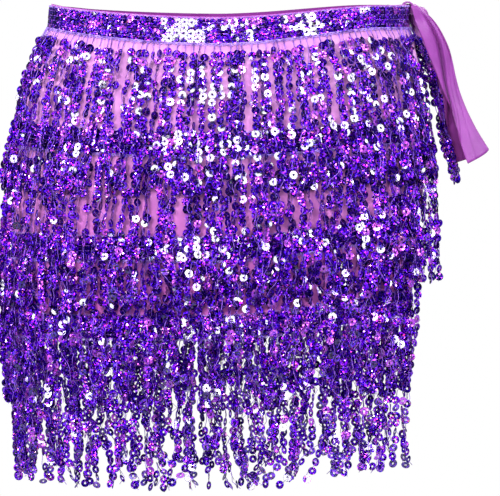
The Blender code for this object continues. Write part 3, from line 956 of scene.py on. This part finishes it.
def makeTail(name, place, inset, length):
    look = tie
    downs = np.linspace(0, 1, look["rows"])
    top, foot = look["heights"][0], look["heights"][-1] * length
    heights = top + (foot - top) * downs
    keys = ("spineX", "frontX", "rearX", "spread", place)
    values = {key: readDown(look[key], look["heights"], heights) for key in keys}
    wide = look["smoothedOver"]
    for key in values:
        padded = np.pad(values[key], wide // 2, mode="reflect", reflect_type="odd")
        values[key] = np.convolve(padded, np.ones(wide) / wide, mode="valid")
    columns = np.arange(-look["leafColumns"], look["leafColumns"] + 1)
    along = np.abs(columns) / look["leafColumns"]
    toward = np.where(columns > 0, -1, 1)
    rows = []
    for i, down in enumerate(downs):
        drop = look["hemDrop"] * smoothStep((down - look["hemDropStarts"]) / (1 - look["hemDropStarts"]))
        edge = np.where(columns > 0, values["frontX"][i], values["rearX"][i])
        reach = (1 - np.cos(along * math.pi / 2)) ** look["fullness"]
        x = values["spineX"][i] - inset + (edge - values["spineX"][i]) * reach
        fold = np.zeros(len(columns))
        for start, drift, depth, half in tailPleats:
            centre = start + drift * down ** 2 + look["pleatSway"] * math.sin(9 * down + start * 9)
            swell = smoothStep(down / look["pleatsFrom"]) * (0.85 + 0.15 * math.sin(5 * down + start * 20))
            fold += depth * swell * np.exp(-((reach - centre) / half) ** 2)
        y = values[place][i] + toward * (values["spread"][i] * np.sin(along * math.pi / 2) + fold)
        z = heights[i] - drop * along
        rows.append(np.stack([x, y, z], axis=-1))
    widths = columns / look["leafColumns"] * look["cutWidth"] / 2
    # The first faces take the darker reverse, painted shade on the inside of the fold
    return clothPiece(name, rows, widths, heights, look["wall"], 0, tieReverseShaded, tieKnit)


frontTail = makeTail("tieTailFrontCloth", "frontPlace", 0.0, 1.0)
rearTail = makeTail("tieTailRearCloth", "rearPlace", tie["rearInset"], tie["rearLength"])


knot = {
    "centre": (0.1374, -0.0016, 0.0035),
    "half": (0.0062, 0.0095, 0.0085),
    "folds": 5,
    "foldLean": 1.6,
    "foldDepth": 0.07,
    "rings": 33,
    "sides": 48,
}


def makeKnot():
    # A soft lump with the strap's turns as folds that lean across it
    look = knot
    lats = np.linspace(0.001, math.pi - 0.001, look["rings"])
    lons = np.linspace(0, 2 * math.pi, look["sides"], endpoint=False)
    points, faces = [], []
    for lat in lats:
        for lon in lons:
            fold = math.cos(look["folds"] * lat + look["foldLean"] * math.sin(lon))
            swell = 1 - look["foldDepth"] * (0.5 + 0.5 * fold)
            out = (math.sin(lat) * math.cos(lon), math.cos(lat), math.sin(lat) * math.sin(lon))
            points.append([c + h * o * swell for c, h, o in zip(look["centre"], look["half"], out)])
    wide = len(lons)
    for r in range(len(lats) - 1):
        for c in range(wide):
            after = (c + 1) % wide
            faces.append((r * wide + c, r * wide + after, (r + 1) * wide + after, (r + 1) * wide + c))
    faces.append(tuple(range(wide))[::-1])
    faces.append(tuple((len(lats) - 1) * wide + c for c in range(wide)))
    mesh = bpy.data.meshes.new("tieKnotCloth")
    mesh.from_pydata(points, [], faces)
    layer = mesh.uv_layers.new(name="cloth")
    for loop in mesh.loops:
        co = mesh.vertices[loop.vertex_index].co
        layer.data[loop.index].uv = (co.y, co.z)
    mesh.materials.append(tieKnit)
    mesh.shade_smooth()
    knotShape = bmesh.new()
    knotShape.from_mesh(mesh)
    bmesh.ops.recalc_face_normals(knotShape, faces=knotShape.faces)
    knotShape.to_mesh(mesh)
    knotShape.free()
    return addObject("tieKnotCloth", mesh)


strap = {
    "innerX": 0.1244,
    "outerX": 0.1320,
    "top": 0.0152,
    "foot": 0.0005,
    "middleY": -0.0016,
    "width": 0.0110,
    "length": 0.034,
    "ripple": 0.0004,
    "wall": 0.0011,
    "bends": 14,
    "columns": 9,
}


def makeStrap():
    # From inside the waist up, over the top edge and down to the knot
    look = strap
    radius = (look["outerX"] - look["innerX"]) / 2
    middle = (look["outerX"] + look["innerX"]) / 2
    path = [(look["innerX"], look["foot"]), (look["innerX"], (look["foot"] + look["top"]) / 2)]
    for bend in range(look["bends"] + 1):
        turn = math.pi * bend / look["bends"]
        path.append((middle - radius * math.cos(turn), look["top"] - radius + radius * math.sin(turn)))
    across = np.linspace(-1, 1, look["columns"])
    ripple = look["ripple"] * np.cos(across * 5)
    widths = across * look["width"] / 2
    rows = []
    for x, z in path:
        rows.append(np.stack([x + ripple, look["middleY"] + widths, np.full(len(across), z)], axis=-1))
    lengths = np.linspace(0, look["length"], len(path))
    return clothPiece("tieStrapCloth", rows, widths, lengths, look["wall"], 0, tieKnit, tieKnit)


knotCloth = makeKnot()
strapCloth = makeStrap()
print("tie made")

# What each cloth piece stands for: it goes on the root, and the frame's part for it is hidden
for piece, node, slot in (
        (panelCloth, "main_panel", "base_knit"), (tapeCloth, "waist_tape", "tie_knit"),
        (strapCloth, "tie_loop", "tie_knit"), (knotCloth, "tie_knot", "tie_knit"),
        (frontTail, "tie_tail_front", "tie_knit"), (rearTail, "tie_tail_rear", "tie_knit")):
    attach(piece, "root")
    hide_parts(node)


# Floor, light and camera

studio = {
    "floorHeight": -0.98,
    "floorSide": 3.2,
    "cameraPlace": (0.0148, -4.5, 0.033),
    "cameraTilt": 2.48,
    "lens": 450,
    "sweepStarts": 0.0,
    "sweepFull": 0.5,
    "roomLight": 0.02,
    "sweepLight": 0.08,
    "backdrop": 1.0,
    "lampsAim": (0.0, 0.0, -0.12),
}


def makeStudio():
    look = studio
    side = look["floorSide"] / 2
    corners = [(x * side, y * side, look["floorHeight"]) for x, y in ((-1, -1), (1, -1), (1, 1), (-1, 1))]
    mesh = bpy.data.meshes.new("floor")
    mesh.from_pydata(corners, [], [(0, 1, 2, 3)])
    floor = addObject("floor", mesh)
    material, tree, shader = startMaterial("paleFloor")
    setInputs(tree, shader, {"Base Color": (0.60, 0.59, 0.58, 1), "Roughness": 0.8})
    mesh.materials.append(material)
    camera = bpy.data.cameras.new("camera")
    camera.lens = look["lens"]
    camera.sensor_width = 36
    camera.clip_end = 50
    eye = addObject("camera", camera)
    eye.location = look["cameraPlace"]
    eye.rotation_euler = (math.radians(90 - look["cameraTilt"]), 0, 0)
    scene.camera = eye
    scene.world = makeSurround(look)
    scene.view_settings.view_transform = "Standard"


def makeSurround(look):
    # A white sweep behind the object and a dim room in front of it
    world = bpy.data.worlds.new("studio")
    world.use_nodes = True
    tree = world.node_tree
    tree.nodes.clear()
    white = (1, 1, 1, 1)
    way = addNode(tree, "ShaderNodeTexCoord").outputs["Generated"]
    backward = addNode(tree, "ShaderNodeSeparateXYZ", {0: way}).outputs["Y"]
    light = addNode(tree, "ShaderNodeMapRange", {
        "Value": backward, "From Min": look["sweepStarts"], "From Max": look["sweepFull"],
        "To Min": look["roomLight"], "To Max": look["sweepLight"],
    }, interpolation_type="SMOOTHSTEP")
    room = addNode(tree, "ShaderNodeBackground", {"Color": white, "Strength": light.outputs[0]})
    backdrop = addNode(tree, "ShaderNodeBackground", {"Color": white, "Strength": look["backdrop"]})
    seen = addNode(tree, "ShaderNodeLightPath").outputs["Is Camera Ray"]
    picked = addNode(tree, "ShaderNodeMixShader", {0: seen, 1: room.outputs[0], 2: backdrop.outputs[0]})
    addNode(tree, "ShaderNodeOutputWorld", {0: picked.outputs[0]})
    return world


def addLamp(name, place, size, watts):
    lamp = bpy.data.lights.new(name, "AREA")
    lamp.shape = "RECTANGLE"
    lamp.size, lamp.size_y = size
    lamp.energy = watts
    stand = addObject(name, lamp)
    stand.location = place
    stand.rotation_euler = (Vector(studio["lampsAim"]) - Vector(place)).to_track_quat("-Z", "Y").to_euler()


makeStudio()
addLamp("keySoftbox", (-0.88, -2.28, 0.80), (0.86, 0.76), 72)
addLamp("frontStrip", (0.20, -2.45, 0.88), (0.25, 0.70), 24)
addLamp("secondSoftbox", (1.43, -2.00, 0.92), (0.48, 0.64), 46)
addLamp("sideSoftbox", (-1.95, -0.25, 1.05), (0.80, 0.70), 78)
addLamp("edgeSoftbox", (2.00, -0.55, 0.95), (0.66, 0.64), 42)
addLamp("backSoftbox", (0.70, 2.40, 1.05), (0.90, 0.80), 34)
addLamp("topSoftbox", (0.10, -0.60, 1.90), (0.90, 0.60), 16)
print("floor, lights and camera made")
